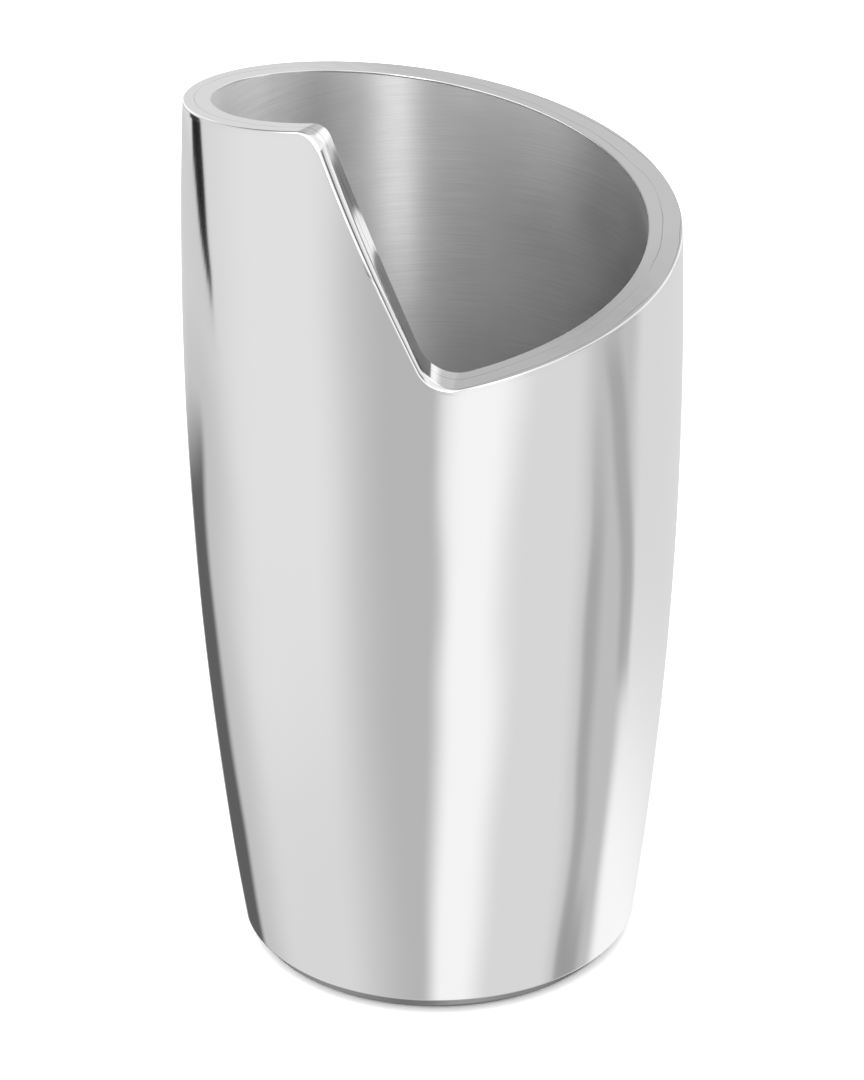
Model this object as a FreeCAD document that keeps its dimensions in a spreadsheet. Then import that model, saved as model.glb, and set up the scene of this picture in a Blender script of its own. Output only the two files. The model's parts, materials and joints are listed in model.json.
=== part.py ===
import FreeCAD, Part
import math
import os
from collections import namedtuple

import Sketcher

# A double-walled steel cooler for one champagne bottle. It stands on the plane z = 0 with its
# axis along Z, in millimetres. The outside is a slightly bulged barrel and the inside a
# straight bore with a pressed floor. The rim climbs once round the wall as a gentle spiral,
# counter-clockwise from above, and falls back to its start down a steep notch at the -Y side.

DRIVING_SIZES = (
    ("belly_radius", 62.5, "greatest radius of the outer wall"),
    ("belly_height", 162.0, "height of that greatest radius"),
    ("barrel_arc_radius", 1170.0, "radius of the arc that the outer wall follows"),
    ("shell_base_height", 4.0, "height of the outer wall's lower edge"),
    ("shell_sheet", 1.0, "thickness of the outer wall"),
    ("shell_edge_round", 0.6, "rounding of the outer wall's lower edge"),
    ("bore_radius", 53.4, "inner radius of the straight liner"),
    ("liner_sheet", 0.8, "thickness of the liner and its floor"),
    ("bore_floor_height", 33.0, "height of the liner's inner floor"),
    ("dish_corner_radius", 12.0, "inner radius of the corner between floor and liner"),
    ("dish_wall_height", 3.0, "height of the floor's own straight wall, above that corner"),
    ("valley_height", 181.3, "rim height where the notch meets the spiral, before rounding"),
    ("peak_height", 244.7, "rim height where the spiral meets the notch, before rounding"),
    ("notch_angle", 27.0, "degrees of the turn that the notch takes"),
    ("peak_round_outside", 7.0, "rounding of the peak where the rim meets the outer wall"),
    ("peak_round_inside", 4.5, "rounding of the peak where the rim meets the bore"),
    ("valley_round_outside", 8.0, "rounding of the valley where the rim meets the outer wall"),
    ("valley_round_inside", 12.0, "rounding of the valley where the rim meets the bore"),
    ("rim_sheet", 1.5, "thickness of the rim strip, square to its face"),
    ("rim_outer_round", 0.9, "rounding of the rim strip's outer edge"),
    ("rim_inner_round", 0.3, "rounding of the rim strip's inner edge"),
    ("foot_radius", 49.6, "radius of the step under the outer wall"),
    ("foot_corner_radius", 1.2, "outer radius of the step's lower corner"),
    ("base_sheet", 1.0, "thickness of the base plate"),
    ("base_panel_radius", 36.0, "radius of the raised middle of the base plate"),
    ("base_panel_rise", 3.0, "rise of that middle above the step"),
    ("base_panel_slope", 2.5, "width of the sloping ring round that middle"),
    ("vent_radius", 2.5, "radius of the vent hole and of the plug's stem"),
    ("plug_head_radius", 4.2, "radius of the plug's head"),
    ("plug_head_height", 1.0, "height of the plug's head"),
    ("plug_barb_radius", 3.3, "radius of the plug's barb"),
    ("plug_tip_radius", 1.8, "radius of the plug's tip"),
    ("plug_barb_height", 1.6, "height of the plug's barb"),
    ("ring_outer_radius", 46.5, "outer radius of the non-slip ring"),
    ("ring_inner_radius", 40.0, "inner radius of the non-slip ring"),
    ("ring_height", 0.5, "height of the non-slip ring"),
    ("ring_edge_round", 0.2, "rounding of the non-slip ring's lower edges"),
    ("film_height", 0.1, "thickness of the adhesive film on the ring"),
    ("film_margin", 0.3, "how far the film stays inside the ring's edges"),
)

SHEET_NAME = "dims"
BLANK_MARGIN = 15.0     # how far a blank reaches past the rim before it is cut to it
CUTTER_MARGIN = 2.0     # how far a rim cutter reaches past both faces of the wall
CUTTER_HEIGHT = 110.0   # height of a rim cutter, more than the rim's rise
NOTCH_SIDE = -90.0      # direction of the valley, in degrees from +X
FULL_TURN = 360.0
POSITION_TOLERANCE = 0.02
SOLID_TOLERANCE = 1e-6
EDGE_PROBE_REACH = 0.15     # how far over and under an edge its solid is probed
EDGE_PROBE_INSET = 0.3      # how far inside the wall's face that is done
EDGE_PROBE_SHARES = (0.1, 0.5, 0.9)

# Sketcher's numbers for a sketch's own origin and axes, and for the ends of an edge.
ORIGIN = HORIZONTAL_AXIS = -1
VERTICAL_AXIS = -2
START, END = 1, 2

UP = FreeCAD.Vector(0, 0, 1)
SKETCH_NORMAL = FreeCAD.Vector(0, 0, 1)

Bend = namedtuple("Bend", "radius height arc_radius")
Corner = namedtuple("Corner", "radius height bend", defaults=(None,))


class Size:
    """A length: its value now, and the sheet expression that keeps it up to date."""

    def __init__(self, value, expression=None):
        self.value = float(value)
        self.expression = expression or repr(self.value)

    def __add__(self, other):
        return Size(self.value + other.value, f"({self.expression} + {other.expression})")

    def __sub__(self, other):
        return Size(self.value - other.value, f"({self.expression} - {other.expression})")

    def squared(self):
        return Size(self.value ** 2, f"({self.expression}) ^ 2")

    def root(self):
        return Size(math.sqrt(self.value), f"sqrt({self.expression})")


ZERO = Size(0)


# ---- document and sheet ----

def make_sheet(doc):
    """The spreadsheet of driving sizes: meaning in column A, aliased value in column B."""
    sheet = doc.addObject("Spreadsheet::Sheet", SHEET_NAME)
    for row, (alias, value, meaning) in enumerate(DRIVING_SIZES, start=1):
        sheet.set(f"A{row}", meaning)
        sheet.set(f"B{row}", str(value))
        sheet.setAlias(f"B{row}", alias)
    doc.recompute()
    return {alias: Size(sheet.get(alias), f"{SHEET_NAME}.{alias}") for alias, _, _ in DRIVING_SIZES}


doc = FreeCAD.newDocument("champagne_cooler")
size = make_sheet(doc)


def wall_radius(height, inset=ZERO):
    """Radius of the barrel wall at a height, moved in by inset square to the wall."""
    arc_radius = size["barrel_arc_radius"] - inset
    above_belly = height - size["belly_height"]
    reach = (arc_radius.squared() - above_belly.squared()).root()
    return size["belly_radius"] - size["barrel_arc_radius"] + reach


def barrel_bend(inset=ZERO):
    """The barrel wall's arc, as the bend between two corners of an outline."""
    return Bend(size["belly_radius"] - size["barrel_arc_radius"], size["belly_height"],
                size["barrel_arc_radius"] - inset)


# ---- revolved pieces ----

def sketch_point(radius, height):
    return FreeCAD.Vector(radius.value, height.value, 0)


def add_outline_edge(sketch, start, end):
    """Draw the edge between two corners. Return its index and which of its ends is the start."""
    start_point = sketch_point(start.radius, start.height)
    end_point = sketch_point(end.radius, end.height)
    if start.bend is None:
        return sketch.addGeometry(Part.LineSegment(start_point, end_point), False), START
    centre = sketch_point(start.bend.radius, start.bend.height)
    spokes = [start_point - centre, end_point - centre]
    forwards = spokes[0].cross(spokes[1]).z > 0
    if not forwards:
        spokes.reverse()
    angles = [math.atan2(spoke.y, spoke.x) for spoke in spokes]
    circle = Part.Circle(centre, SKETCH_NORMAL, start.bend.arc_radius.value)
    index = sketch.addGeometry(Part.ArcOfCircle(circle, *angles), False)
    return index, START if forwards else END


def bind_constraint(sketch, name, kind, *places, length):
    """Add a length constraint under a name and bind it to the sheet."""
    index = sketch.addConstraint(Sketcher.Constraint(kind, *places, length.value))
    sketch.renameConstraint(index, name)
    sketch.setExpression(f"Constraints.{name}", length.expression)


def place_corner(sketch, number, corner, edge, end):
    """Hold a corner at its radius from the Z axis and its height above the sketch's origin."""
    if corner.radius.value == 0:
        sketch.addConstraint(Sketcher.Constraint("PointOnObject", edge, end, VERTICAL_AXIS))
    else:
        bind_constraint(sketch, f"radius_{number}", "DistanceX", ORIGIN, START, edge, end,
                        length=corner.radius)
    if corner.height.value == 0:
        sketch.addConstraint(Sketcher.Constraint("PointOnObject", edge, end, HORIZONTAL_AXIS))
    else:
        bind_constraint(sketch, f"height_{number}", "DistanceY", ORIGIN, START, edge, end,
                        length=corner.height)


def revolved_body(label, corners):
    """A body turned about Z from a closed outline of corners in the XZ plane."""
    body = doc.addObject("PartDesign::Body", label)
    body.Label = label
    sketch = body.newObject("Sketcher::SketchObject", f"{label}_outline")
    planes = [feature for feature in body.Origin.OriginFeatures if feature.Role == "XZ_Plane"]
    sketch.AttachmentSupport = [(planes[0], "")]
    sketch.MapMode = "FlatFace"
    following = corners[1:] + corners[:1]
    edges = [add_outline_edge(sketch, start, end) for start, end in zip(corners, following)]
    for number, (corner, (edge, end)) in enumerate(zip(corners, edges)):
        last_edge, last_start = edges[number - 1]
        last_end = END if last_start == START else START
        sketch.addConstraint(Sketcher.Constraint("Coincident", last_edge, last_end, edge, end))
        place_corner(sketch, number, corner, edge, end)
        if corner.bend is not None:
            bind_constraint(sketch, f"arc_{number}", "Radius", edge, length=corner.bend.arc_radius)
    revolution = body.newObject("PartDesign::Revolution", f"{label}_turned")
    revolution.Profile = sketch
    revolution.ReferenceAxis = (sketch, ["V_Axis"])
    revolution.Angle = FULL_TURN
    doc.recompute()
    return body


def circle_edge_names(shape, circles):
    """Names of the full circles of a shape at the given (radius, height) pairs."""
    names = []
    for number, edge in enumerate(shape.Edges, start=1):
        if not isinstance(edge.Curve, Part.Circle):
            continue
        for radius, height in circles:
            same_radius = abs(edge.Curve.Radius - radius.value) < POSITION_TOLERANCE
            same_height = abs(edge.Curve.Center.z - height.value) < POSITION_TOLERANCE
            if same_radius and same_height:
                names.append(f"Edge{number}")
    return names


def round_circles(body, circles, radius):
    """Round the full circles of a body at the given (radius, height) pairs."""
    turned = body.Tip
    names = circle_edge_names(turned.Shape, circles)
    if len(names) != len(circles):
        raise RuntimeError(f"{body.Label}: found {len(names)} of {len(circles)} edges to round")
    rounding = body.newObject("PartDesign::Fillet", f"{body.Label}_rounding")
    rounding.Base = (turned, names)
    rounding.setExpression("Radius", radius.expression)
    body.Tip = rounding
    doc.recompute()


def lift(body, height):
    """Place a body that is drawn from its own lowest point at a height."""
    body.setExpression(".Placement.Base.z", height.expression)


# ---- rim surfaces ----

def on_unrolled_wall(distance, height):
    return FreeCAD.Vector(distance, height, 0)


def rim_outline(turn_length, drop, peak_round, valley_round):
    """The rim's edge line on the unrolled wall, lowered by drop square to itself.

    It is four tangent stretches between five points: the spiral, an arc over the peak, the
    notch, and an arc through the valley, which is centred below the start of the next turn.
    """
    valley, peak = size["valley_height"].value, size["peak_height"].value
    spiral_length = turn_length * (1 - size["notch_angle"].value / FULL_TURN)
    peak_corner = on_unrolled_wall(spiral_length, peak)
    valley_corner = on_unrolled_wall(turn_length, valley)
    spiral = (peak_corner - on_unrolled_wall(0, valley)).normalize()
    notch = (valley_corner - peak_corner).normalize()
    above_spiral = FreeCAD.Vector(-spiral.y, spiral.x, 0)
    above_notch = FreeCAD.Vector(-notch.y, notch.x, 0)
    half_turn = math.tan(spiral.getAngle(notch) / 2)
    peak_centre = peak_corner - (spiral * half_turn + above_spiral) * peak_round
    valley_centre = valley_corner - (notch * half_turn - above_notch) * valley_round
    last_valley_centre = valley_centre - on_unrolled_wall(turn_length, 0)
    over_peak, under_valley = peak_round - drop, valley_round + drop
    points = [last_valley_centre - above_spiral * under_valley,
              peak_centre + above_spiral * over_peak,
              peak_centre + above_notch * over_peak,
              valley_centre - above_notch * under_valley,
              valley_centre - above_spiral * under_valley]
    arcs = [None, (peak_centre, over_peak), None, (valley_centre, under_valley)]
    return points, arcs


def rolled_edges(radius, turn_length, outline):
    """The rim's edge line rolled on to a cylinder, as exact edges on its surface."""
    points, arcs = outline
    cylinder = Part.Cylinder()
    cylinder.Radius = radius
    angle_per_length = 2 * math.pi / turn_length

    def rolled(point):
        return FreeCAD.Base.Vector2d(point.x * angle_per_length, point.y)

    edges = []
    for start, end, arc in zip(points[:-1], points[1:], arcs):
        if arc is None:
            line = Part.Geom2d.Line2dSegment(rolled(start), rolled(end))
            edges.append(line.toShape(cylinder))
            continue
        centre, arc_radius = arc
        ellipse = Part.Geom2d.Ellipse2d(rolled(centre + on_unrolled_wall(0, arc_radius)),
                                        rolled(centre + on_unrolled_wall(arc_radius, 0)),
                                        rolled(centre))
        first, last = sorted(ellipse.parameter(rolled(point)) for point in (start, end))
        if last - first > math.pi:
            first, last = last, first + 2 * math.pi
        edges.append(Part.Geom2d.ArcOfEllipse2d(ellipse, first, last).toShape(cylinder))
    return edges


def rounding_at(radius, inside, outside):
    """A rounding that changes evenly from the bore to the outer wall, at some radius."""
    bore, belly = size["bore_radius"].value, size["belly_radius"].value
    share = (radius - bore) / (belly - bore)
    return inside.value + share * (outside.value - inside.value)


def rim_cutter(label, drop):
    """Everything above the rim's face, or above a surface that lies drop under that face."""
    bore, belly = size["bore_radius"].value, size["belly_radius"].value
    turn_length = math.pi * (bore + belly)
    edge_sets = []
    for radius in (bore - CUTTER_MARGIN, belly + CUTTER_MARGIN):
        peak_round = rounding_at(radius, size["peak_round_inside"], size["peak_round_outside"])
        valley_round = rounding_at(radius, size["valley_round_inside"],
                                   size["valley_round_outside"])
        outline = rim_outline(turn_length, drop.value, peak_round, valley_round)
        edge_sets.append(rolled_edges(radius, turn_length, outline))
    surface = Part.makeShell([Part.makeRuledSurface(*pair) for pair in zip(*edge_sets)])
    surface.sewShape()
    columns = surface.extrude(UP * CUTTER_HEIGHT).Solids
    cutter = doc.addObject("Part::Feature", label)
    cutter.Label = label
    cutter.Shape = columns[0].multiFuse(columns[1:]).removeSplitter().Solids[0]
    cutter.Placement = FreeCAD.Placement(FreeCAD.Vector(), FreeCAD.Rotation(UP, NOTCH_SIDE))
    return cutter


def cut(label, base, tool):
    """A boolean cut of one object by another, as an object of its own."""
    result = doc.addObject("Part::Cut", label)
    result.Label = label
    result.Base = base
    result.Tool = tool
    doc.recompute()
    return result


# ---- walls ----

def make_outer_shell(above_rim_joint):
    """The polished barrel, cut to the underside of the rim strip."""
    low, high = size["shell_base_height"], size["peak_height"] + Size(BLANK_MARGIN)
    sheet = size["shell_sheet"]
    blank = revolved_body("shell_blank", [
        Corner(wall_radius(low), low, barrel_bend()),
        Corner(wall_radius(high), high),
        Corner(wall_radius(high, sheet), high, barrel_bend(sheet)),
        Corner(wall_radius(low, sheet), low),
    ])
    round_circles(blank, [(wall_radius(low), low)], size["shell_edge_round"])
    return cut("outer_shell", blank, above_rim_joint)


def make_liner_wall(above_rim_joint):
    """The straight brushed tube, from the top of the pressed floor to the rim strip."""
    low = size["bore_floor_height"] + size["dish_corner_radius"] + size["dish_wall_height"]
    high = size["peak_height"] + Size(BLANK_MARGIN)
    inside, outside = size["bore_radius"], size["bore_radius"] + size["liner_sheet"]
    blank = revolved_body("liner_blank", [
        Corner(inside, low),
        Corner(outside, low),
        Corner(outside, high),
        Corner(inside, high),
    ])
    return cut("liner_wall", blank, above_rim_joint)


def make_liner_floor():
    """The pressed dish that closes the liner, drawn from its underside up."""
    sheet, corner = size["liner_sheet"], size["dish_corner_radius"]
    inside, flat_radius = size["bore_radius"], size["bore_radius"] - size["dish_corner_radius"]
    bend_height = sheet + corner
    edge_height = bend_height + size["dish_wall_height"]
    floor = revolved_body("liner_floor", [
        Corner(ZERO, ZERO),
        Corner(flat_radius, ZERO, Bend(flat_radius, bend_height, corner + sheet)),
        Corner(inside + sheet, bend_height),
        Corner(inside + sheet, edge_height),
        Corner(inside, edge_height),
        Corner(inside, bend_height, Bend(flat_radius, bend_height, corner)),
        Corner(flat_radius, sheet),
        Corner(ZERO, sheet),
    ])
    lift(floor, size["bore_floor_height"] - sheet)
    return floor


def rim_edge_numbers(shape, radius_at, towards_wall):
    """Numbers of the rim strip's upper edges on a wall, told by what lies above and below.

    towards_wall is 1 where the strip lies outside the wall's face, and -1 where it lies inside.
    """
    numbers = []
    for number, edge in enumerate(shape.Edges, start=1):
        first, last = edge.ParameterRange
        points = [edge.valueAt(first + share * (last - first)) for share in EDGE_PROBE_SHARES]
        if any(abs(math.hypot(p.x, p.y) - radius_at(p.z)) > POSITION_TOLERANCE for p in points):
            continue
        middle = points[len(points) // 2]
        into_wall = FreeCAD.Vector(middle.x, middle.y, 0).normalize() * towards_wall
        inner = middle + into_wall * EDGE_PROBE_INSET
        above, below = inner + UP * EDGE_PROBE_REACH, inner - UP * EDGE_PROBE_REACH
        if (shape.isInside(below, SOLID_TOLERANCE, False)
                and not shape.isInside(above, SOLID_TOLERANCE, False)):
            numbers.append(number)
    return numbers


def make_rim_band(above_rim_joint, above_rim):
    """The strip that closes the gap between the walls and follows the spiral and the notch."""
    low = size["valley_height"] - Size(BLANK_MARGIN)
    high = size["peak_height"] + Size(BLANK_MARGIN)
    inside = size["bore_radius"]
    blank = revolved_body("rim_blank", [
        Corner(wall_radius(low), low, barrel_bend()),
        Corner(wall_radius(high), high),
        Corner(inside, high),
        Corner(inside, low),
    ])
    over_joint = doc.addObject("Part::Common", "rim_over_joint")
    over_joint.Base = blank
    over_joint.Tool = above_rim_joint
    square_edged = cut("rim_square_edged", over_joint, above_rim)
    shape = square_edged.Shape
    outer = rim_edge_numbers(shape, lambda z: wall_radius(Size(z)).value, -1)
    inner = rim_edge_numbers(shape, lambda z: inside.value, 1)
    outer_round, inner_round = size["rim_outer_round"].value, size["rim_inner_round"].value
    band = doc.addObject("Part::Fillet", "rim_band")
    band.Label = "rim_band"
    band.Base = square_edged
    band.Edges = ([(number, outer_round, outer_round) for number in outer]
                  + [(number, inner_round, inner_round) for number in inner])
    doc.recompute()
    return band


# ---- base ----

def base_height():
    """Height of the base plate's lowest face, on the ring and its adhesive."""
    return size["ring_height"] + size["film_height"]


def make_base_plate():
    """The pressed plate that closes the outer shell and forms the step it stands on."""
    sheet, foot = size["base_sheet"], size["foot_radius"]
    corner = size["foot_corner_radius"]
    inner_corner = corner - sheet
    step_height = size["shell_base_height"] - base_height()
    flange_radius = wall_radius(size["shell_base_height"], size["shell_sheet"])
    rise, panel = size["base_panel_rise"], size["base_panel_radius"]
    ring_edge = panel + size["base_panel_slope"]
    vent = size["vent_radius"]
    corner_centre = foot - corner
    plate = revolved_body("base_plate", [
        Corner(vent, rise),
        Corner(panel, rise),
        Corner(ring_edge, ZERO),
        Corner(corner_centre, ZERO, Bend(corner_centre, corner, corner)),
        Corner(foot, corner),
        Corner(foot, step_height),
        Corner(flange_radius, step_height),
        Corner(flange_radius, step_height + sheet),
        Corner(foot - sheet, step_height + sheet),
        Corner(foot - sheet, corner, Bend(corner_centre, corner, inner_corner)),
        Corner(corner_centre, sheet),
        Corner(ring_edge, sheet),
        Corner(panel, rise + sheet),
        Corner(vent, rise + sheet),
    ])
    lift(plate, base_height())
    return plate


def make_vent_plug():
    """The soft plug in the base plate's vent hole, with its head in the plate's recess."""
    stem, head = size["vent_radius"], size["plug_head_radius"]
    head_top = size["plug_head_height"]
    barb_base = head_top + size["base_sheet"]
    tip_height = barb_base + size["plug_barb_height"]
    plug = revolved_body("vent_plug", [
        Corner(ZERO, ZERO),
        Corner(head, ZERO),
        Corner(head, head_top),
        Corner(stem, head_top),
        Corner(stem, barb_base),
        Corner(size["plug_barb_radius"], barb_base),
        Corner(size["plug_tip_radius"], tip_height),
        Corner(ZERO, tip_height),
    ])
    lift(plug, base_height() + size["base_panel_rise"] - head_top)
    return plug


def ring_corners(inner_radius, outer_radius, height):
    return [
        Corner(inner_radius, ZERO),
        Corner(outer_radius, ZERO),
        Corner(outer_radius, height),
        Corner(inner_radius, height),
    ]


def make_non_slip_ring():
    """The rubber ring that the cooler stands on."""
    inner, outer = size["ring_inner_radius"], size["ring_outer_radius"]
    ring = revolved_body("non_slip_ring", ring_corners(inner, outer, size["ring_height"]))
    round_circles(ring, [(inner, ZERO), (outer, ZERO)], size["ring_edge_round"])
    return ring


def make_ring_adhesive():
    """The film that holds the ring to the base plate."""
    inner = size["ring_inner_radius"] + size["film_margin"]
    outer = size["ring_outer_radius"] - size["film_margin"]
    film = revolved_body("ring_adhesive", ring_corners(inner, outer, size["film_height"]))
    lift(film, size["ring_height"])
    return film


# ---- checks and files ----

def check_document(sub_parts):
    """Stop on any object that failed, and on any sub-part without a sound solid."""
    doc.recompute()
    for item in doc.Objects:
        if "Invalid" in item.State or "Error" in item.State:
            raise RuntimeError(f"{item.Label} failed: {item.State}")
    for part in sub_parts:
        if part.Shape.isNull() or not part.Shape.isValid() or len(part.Shape.Solids) != 1:
            raise RuntimeError(f"{part.Label} has no single valid solid")


def write_steps(sub_parts):
    os.makedirs("parts", exist_ok=True)
    for part in sub_parts:
        part.Shape.exportStep(os.path.join("parts", f"{part.Label}.step"))
        box = part.Shape.BoundBox
        print(f"{part.Label}: {part.Shape.Volume:.0f} mm3, z {box.ZMin:.2f} to {box.ZMax:.2f}")


above_rim = rim_cutter("above_rim", ZERO)
above_rim_joint = rim_cutter("above_rim_joint", size["rim_sheet"])

sub_parts = [
    make_outer_shell(above_rim_joint),
    make_rim_band(above_rim_joint, above_rim),
    make_liner_wall(above_rim_joint),
    make_liner_floor(),
    make_base_plate(),
    make_vent_plug(),
    make_non_slip_ring(),
    make_ring_adhesive(),
]
check_document(sub_parts)
write_steps(sub_parts)
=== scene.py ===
import json
import math
from collections import namedtuple

import bpy
import numpy as np
from mathutils import Matrix, Vector


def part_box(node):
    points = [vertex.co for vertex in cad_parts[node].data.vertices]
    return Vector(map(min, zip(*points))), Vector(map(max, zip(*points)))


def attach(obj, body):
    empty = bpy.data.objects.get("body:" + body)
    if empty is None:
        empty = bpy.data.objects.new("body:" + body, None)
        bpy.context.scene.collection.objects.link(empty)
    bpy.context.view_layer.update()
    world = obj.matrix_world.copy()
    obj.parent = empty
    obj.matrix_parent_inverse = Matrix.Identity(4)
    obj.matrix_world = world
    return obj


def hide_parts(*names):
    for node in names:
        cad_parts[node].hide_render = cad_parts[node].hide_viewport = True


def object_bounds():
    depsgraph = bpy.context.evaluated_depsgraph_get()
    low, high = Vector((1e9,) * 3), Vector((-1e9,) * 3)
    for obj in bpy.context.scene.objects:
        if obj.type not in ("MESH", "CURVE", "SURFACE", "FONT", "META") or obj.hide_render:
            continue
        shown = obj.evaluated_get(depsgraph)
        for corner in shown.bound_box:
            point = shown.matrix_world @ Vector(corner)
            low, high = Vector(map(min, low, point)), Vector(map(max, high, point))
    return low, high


# The looks of a double-walled steel champagne cooler, in metres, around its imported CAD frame.
# The rim's edge line is laid out on the unrolled wall as four tangent stretches: the spiral,
# an arc over the peak, the steep notch, and an arc through the valley. Every point of the
# walls is placed by its angle round the axis, counted from the valley, and its height.

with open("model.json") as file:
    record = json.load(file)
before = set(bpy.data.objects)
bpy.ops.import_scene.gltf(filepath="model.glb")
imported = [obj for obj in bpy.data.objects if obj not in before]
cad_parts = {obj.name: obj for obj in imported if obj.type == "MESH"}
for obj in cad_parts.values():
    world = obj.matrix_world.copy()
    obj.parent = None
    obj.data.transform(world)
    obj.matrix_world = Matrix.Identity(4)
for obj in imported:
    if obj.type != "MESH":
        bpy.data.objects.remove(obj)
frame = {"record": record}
cad_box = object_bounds()

# ---- sizes ----

MM = 0.001

mounts = {mount["name"]: mount for mount in frame["record"]["mounts"]}
bore_radius = mounts["bottle_bore"]["dims"]["r_mm"] * MM
bore_floor_height = mounts["bore_floor"]["pos_m"][2]
shell_base_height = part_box("outer_shell")[0].z
dish_top_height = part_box("liner_wall")[0].z
dish_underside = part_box("liner_floor")[0].z
base_underside, base_top = (corner.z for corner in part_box("base_plate"))
ring_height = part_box("non_slip_ring")[1].z
plug_underside, plug_top = (corner.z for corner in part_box("vent_plug"))

# Sizes of the design that the frame doesn't state.
BELLY_RADIUS = 62.5 * MM
BELLY_HEIGHT = 162.0 * MM
BARREL_ARC_RADIUS = 1170.0 * MM
SHELL_SHEET = 1.0 * MM
SHELL_EDGE_ROUND = 0.6 * MM
LINER_SHEET = 0.8 * MM
DISH_CORNER = 12.0 * MM
VALLEY_HEIGHT = 181.3 * MM
PEAK_HEIGHT = 244.7 * MM
NOTCH_ANGLE = math.radians(27.0)
NOTCH_SIDE = math.radians(-90.0)
PEAK_ROUND = (4.5 * MM, 7.0 * MM)       # where the rim meets the bore, and the outer wall
VALLEY_ROUND = (12.0 * MM, 8.0 * MM)
RIM_SHEET = 1.5 * MM
LINER_BRUSHED_TO = 0.6 * MM             # the bore is brushed up to this far under the rim's face
RIM_OUTER_ROUND = 0.45 * MM
RIM_INNER_ROUND = 0.3 * MM
NOTCH_OUTER_ROUND = (2.4 * MM, 1.3 * MM)    # across and down, as the notch is rounded by hand
FOOT_RADIUS = 49.6 * MM
FOOT_CORNER = 1.2 * MM
BASE_SHEET = 1.0 * MM
BASE_PANEL_RADIUS = 36.0 * MM
BASE_PANEL_SLOPE = 2.5 * MM
PRESS_ROUND = 1.0 * MM                  # where the base plate's middle bends up and levels out
FLANGE_ROUND = 0.2 * MM
VENT_RADIUS = 2.5 * MM
PLUG_HEAD_RADIUS = 4.2 * MM
PLUG_BARB_RADIUS = 3.3 * MM
PLUG_TIP_RADIUS = 1.8 * MM
RING_RADII = (40.0 * MM, 46.5 * MM)
FILM_MARGIN = 0.3 * MM
RING_ROUND = 0.2 * MM
FILM_ROUND = 0.02 * MM
SMALL_ROUND = 0.12 * MM                 # a broken edge on sheet
SHARP_ROUND = 0.01 * MM                 # an edge left sharp, where two pieces meet flush

TURN_LENGTH = math.pi * (bore_radius + BELLY_RADIUS)

# The stretches of the rim line, and how finely the curves are divided.
SPIRAL, PEAK, NOTCH, VALLEY = range(4)
STRETCH_STATIONS = (260, 36, 80, 44)
WALL_ROWS = 90                          # down a wall's open side
HIDDEN_ROWS = 30                        # down its side in the sealed gap
TURNED_STATIONS = 256
SHELL_EDGE_STEPS = 7
SMALL_ROUND_STEPS = 4
RIM_OUTER_STEPS = 14
RIM_FACE_STEPS = 9
RIM_INNER_STEPS = 6


# ---- the walls and the rim line ----

def wall_radius(height, inset=0.0):
    """Radius of the barrel wall at a height, moved in by inset square to the wall."""
    arc_radius = BARREL_ARC_RADIUS - inset
    return BELLY_RADIUS - BARREL_ARC_RADIUS + np.sqrt(arc_radius**2 - (height - BELLY_HEIGHT)**2)


def wall_slope(height):
    """How fast the barrel wall's radius grows with height."""
    rise = height - BELLY_HEIGHT
    return -rise / np.sqrt(BARREL_ARC_RADIUS**2 - rise**2)


def stations():
    """The stretch that each station of the rim lies on, and its share along that stretch."""
    stretch = np.repeat(np.arange(4), STRETCH_STATIONS)
    share = np.concatenate([np.arange(count) / count for count in STRETCH_STATIONS])
    return stretch, share


def unit(vectors):
    """Vectors brought to length 1."""
    return vectors / np.linalg.norm(vectors, axis=-1, keepdims=True)


def rim_line(radius, drop):
    """Angle and height of the rim's edge line at each station, lowered by drop square to itself.

    radius and drop are each one number or one for each station; the roundings change evenly
    with the radius.
    """
    stretch, share = stations()
    radius = np.broadcast_to(radius, stretch.shape)
    drop = np.broadcast_to(drop, stretch.shape)[:, None]
    wall_share = (radius - bore_radius) / (BELLY_RADIUS - bore_radius)
    peak_round, valley_round = ((inside + wall_share * (outside - inside))[:, None]
                                for inside, outside in (PEAK_ROUND, VALLEY_ROUND))
    start = np.array([0.0, VALLEY_HEIGHT])
    peak = np.array([TURN_LENGTH * (1 - NOTCH_ANGLE / (2 * math.pi)), PEAK_HEIGHT])
    end = np.array([TURN_LENGTH, VALLEY_HEIGHT])
    spiral, notch = unit(peak - start), unit(end - peak)
    above_spiral, above_notch = (np.array([-way[1], way[0]]) for way in (spiral, notch))
    turn = math.acos(spiral @ notch)
    peak_centre = peak - (spiral * math.tan(turn / 2) + above_spiral) * peak_round
    valley_centre = end - (notch * math.tan(turn / 2) - above_notch) * valley_round
    over_peak, under_valley = peak_round - drop, valley_round + drop
    spiral_start = valley_centre - (TURN_LENGTH, 0) - above_spiral * under_valley
    notch_start = peak_centre + above_notch * over_peak
    straights = {SPIRAL: (spiral_start, peak_centre + above_spiral * over_peak),
                 NOTCH: (notch_start, valley_centre - above_notch * under_valley)}
    spiral_way = math.atan2(above_spiral[1], above_spiral[0])
    over_way = (spiral_way - share * turn)[:, None]
    under_way = (spiral_way - (1 - share) * turn)[:, None]
    over_arc = peak_centre + over_peak * np.hstack([np.cos(over_way), np.sin(over_way)])
    under_arc = valley_centre - under_valley * np.hstack([np.cos(under_way), np.sin(under_way)])
    line = np.zeros((len(stretch), 2))
    for number, (first, last) in straights.items():
        here = stretch == number
        line[here] = (first + share[:, None] * (last - first))[here]
    for number, arc in ((PEAK, over_arc), (VALLEY, under_arc)):
        here = stretch == number
        line[here] = arc[here]
    return line[:, 0] * 2 * math.pi / TURN_LENGTH, line[:, 1]


def around(angle, radius, height):
    """Points at angles counted from the valley."""
    angle, radius, height = np.broadcast_arrays(angle + NOTCH_SIDE, radius, height)
    return np.stack([radius * np.cos(angle), radius * np.sin(angle), height], axis=-1)


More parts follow.
